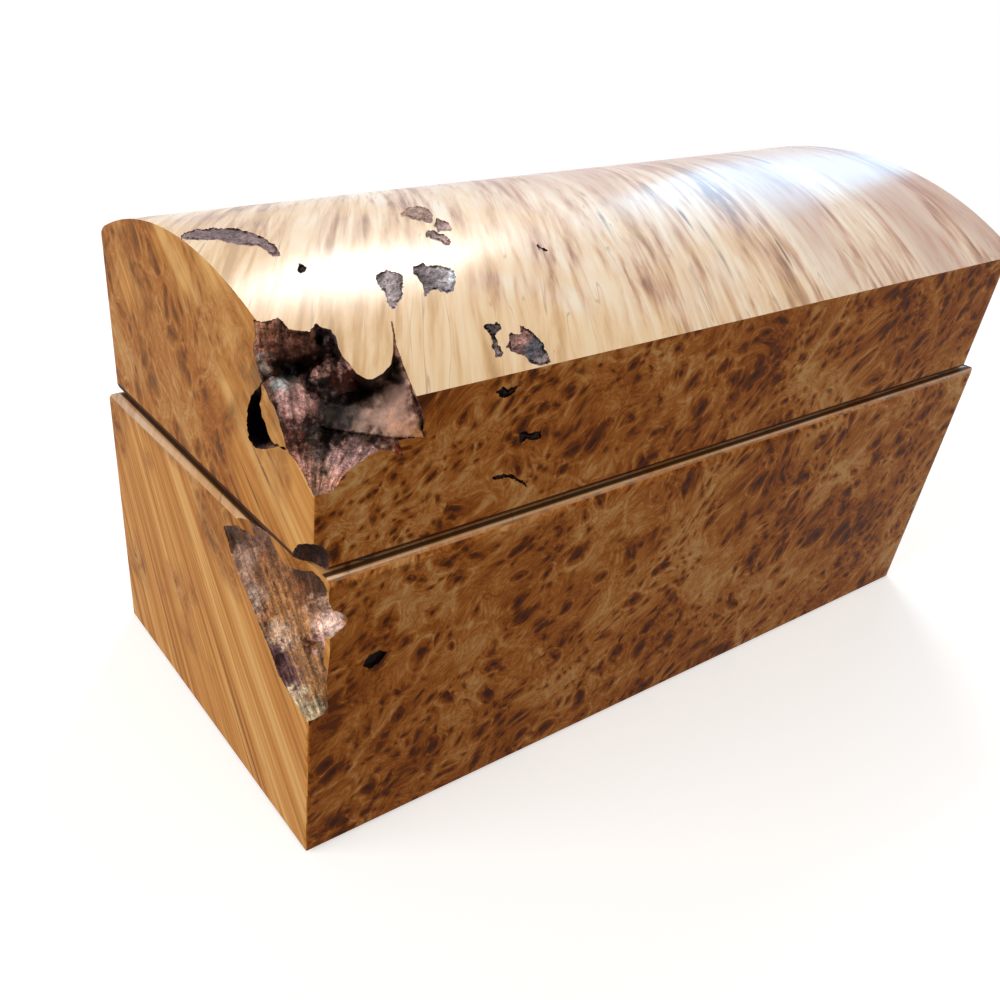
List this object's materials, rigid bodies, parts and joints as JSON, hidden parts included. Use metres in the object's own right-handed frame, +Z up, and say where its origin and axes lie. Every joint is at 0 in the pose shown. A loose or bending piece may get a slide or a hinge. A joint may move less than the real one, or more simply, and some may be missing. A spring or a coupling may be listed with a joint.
{
  "type": "burl wood jewelry box",
  "caption": "Hand-made jewelry box of burl wood with a domed hinged lid, a natural bark pocket in one corner, a suede lining and a lift-out tray.",
  "frame": {"origin": "middle of the underside of the felt, under the middle of the base's bounding box", "axes": "+X along the box to the right as seen from the front, +Y to the hinged back, +Z up"},
  "size_m": [0.216, 0.0994, 0.117],
  "materials": {
    "burl_wood": "oiled burl under a satin lacquer",
    "hinge_brass": "drawn and filed brass, lightly tarnished",
    "lining_suede": "brushed suede, dark brown",
    "roll_suede": "brushed suede over foam, dark brown",
    "tray_wood": "planed hardwood, oiled",
    "base_felt": "pressed wool felt, near black",
    "bumper_leather": "punched vegetable-tanned leather"
  },
  "bodies": {
    "base": {"base_block": "burl_wood", "base_felt": "base_felt", "base_lining_band": "lining_suede", "base_lining_floor": "lining_suede", "tray_runner_left": "tray_wood", "tray_runner_right": "tray_wood", "lid_bumper_left": "bumper_leather", "lid_bumper_right": "bumper_leather", "hinge_left_base_leaf": "hinge_brass", "hinge_left_pin": "hinge_brass", "hinge_left_base_screw_1": "hinge_brass", "hinge_left_base_screw_2": "hinge_brass", "hinge_left_base_screw_3": "hinge_brass", "hinge_right_base_leaf": "hinge_brass", "hinge_right_pin": "hinge_brass", "hinge_right_base_screw_1": "hinge_brass", "hinge_right_base_screw_2": "hinge_brass", "hinge_right_base_screw_3": "hinge_brass"},
    "lid": {"lid_block": "burl_wood", "lid_pad": "lining_suede", "hinge_left_lid_leaf": "hinge_brass", "hinge_left_lid_screw_1": "hinge_brass", "hinge_left_lid_screw_2": "hinge_brass", "hinge_left_lid_screw_3": "hinge_brass", "hinge_right_lid_leaf": "hinge_brass", "hinge_right_lid_screw_1": "hinge_brass", "hinge_right_lid_screw_2": "hinge_brass", "hinge_right_lid_screw_3": "hinge_brass"},
    "tray": {"tray_front": "tray_wood", "tray_back": "tray_wood", "tray_left": "tray_wood", "tray_right": "tray_wood", "tray_floor": "tray_wood", "tray_ring_divider": "tray_wood", "tray_open_divider": "tray_wood", "tray_middle_divider": "tray_wood", "tray_ring_pad": "lining_suede", "tray_middle_pad_front": "lining_suede", "tray_middle_pad_back": "lining_suede", "tray_open_pad": "lining_suede", "ring_roll_1": "roll_suede", "ring_roll_2": "roll_suede", "ring_roll_3": "roll_suede", "ring_roll_4": "roll_suede", "ring_roll_5": "roll_suede", "ring_roll_6": "roll_suede"}
  },
  "joints": [
    {"name": "lid_hinge", "type": "hinge", "parent": "base", "child": "lid", "pos_m": [0, 0.0457, 0.0704], "axis": [-1, 0, 0], "range_deg": [0, 100]},
    {"name": "tray_lift", "type": "slide", "parent": "base", "child": "tray", "axis": [0, 0, 1], "range_m": [0, 0.0155]}
  ]
}
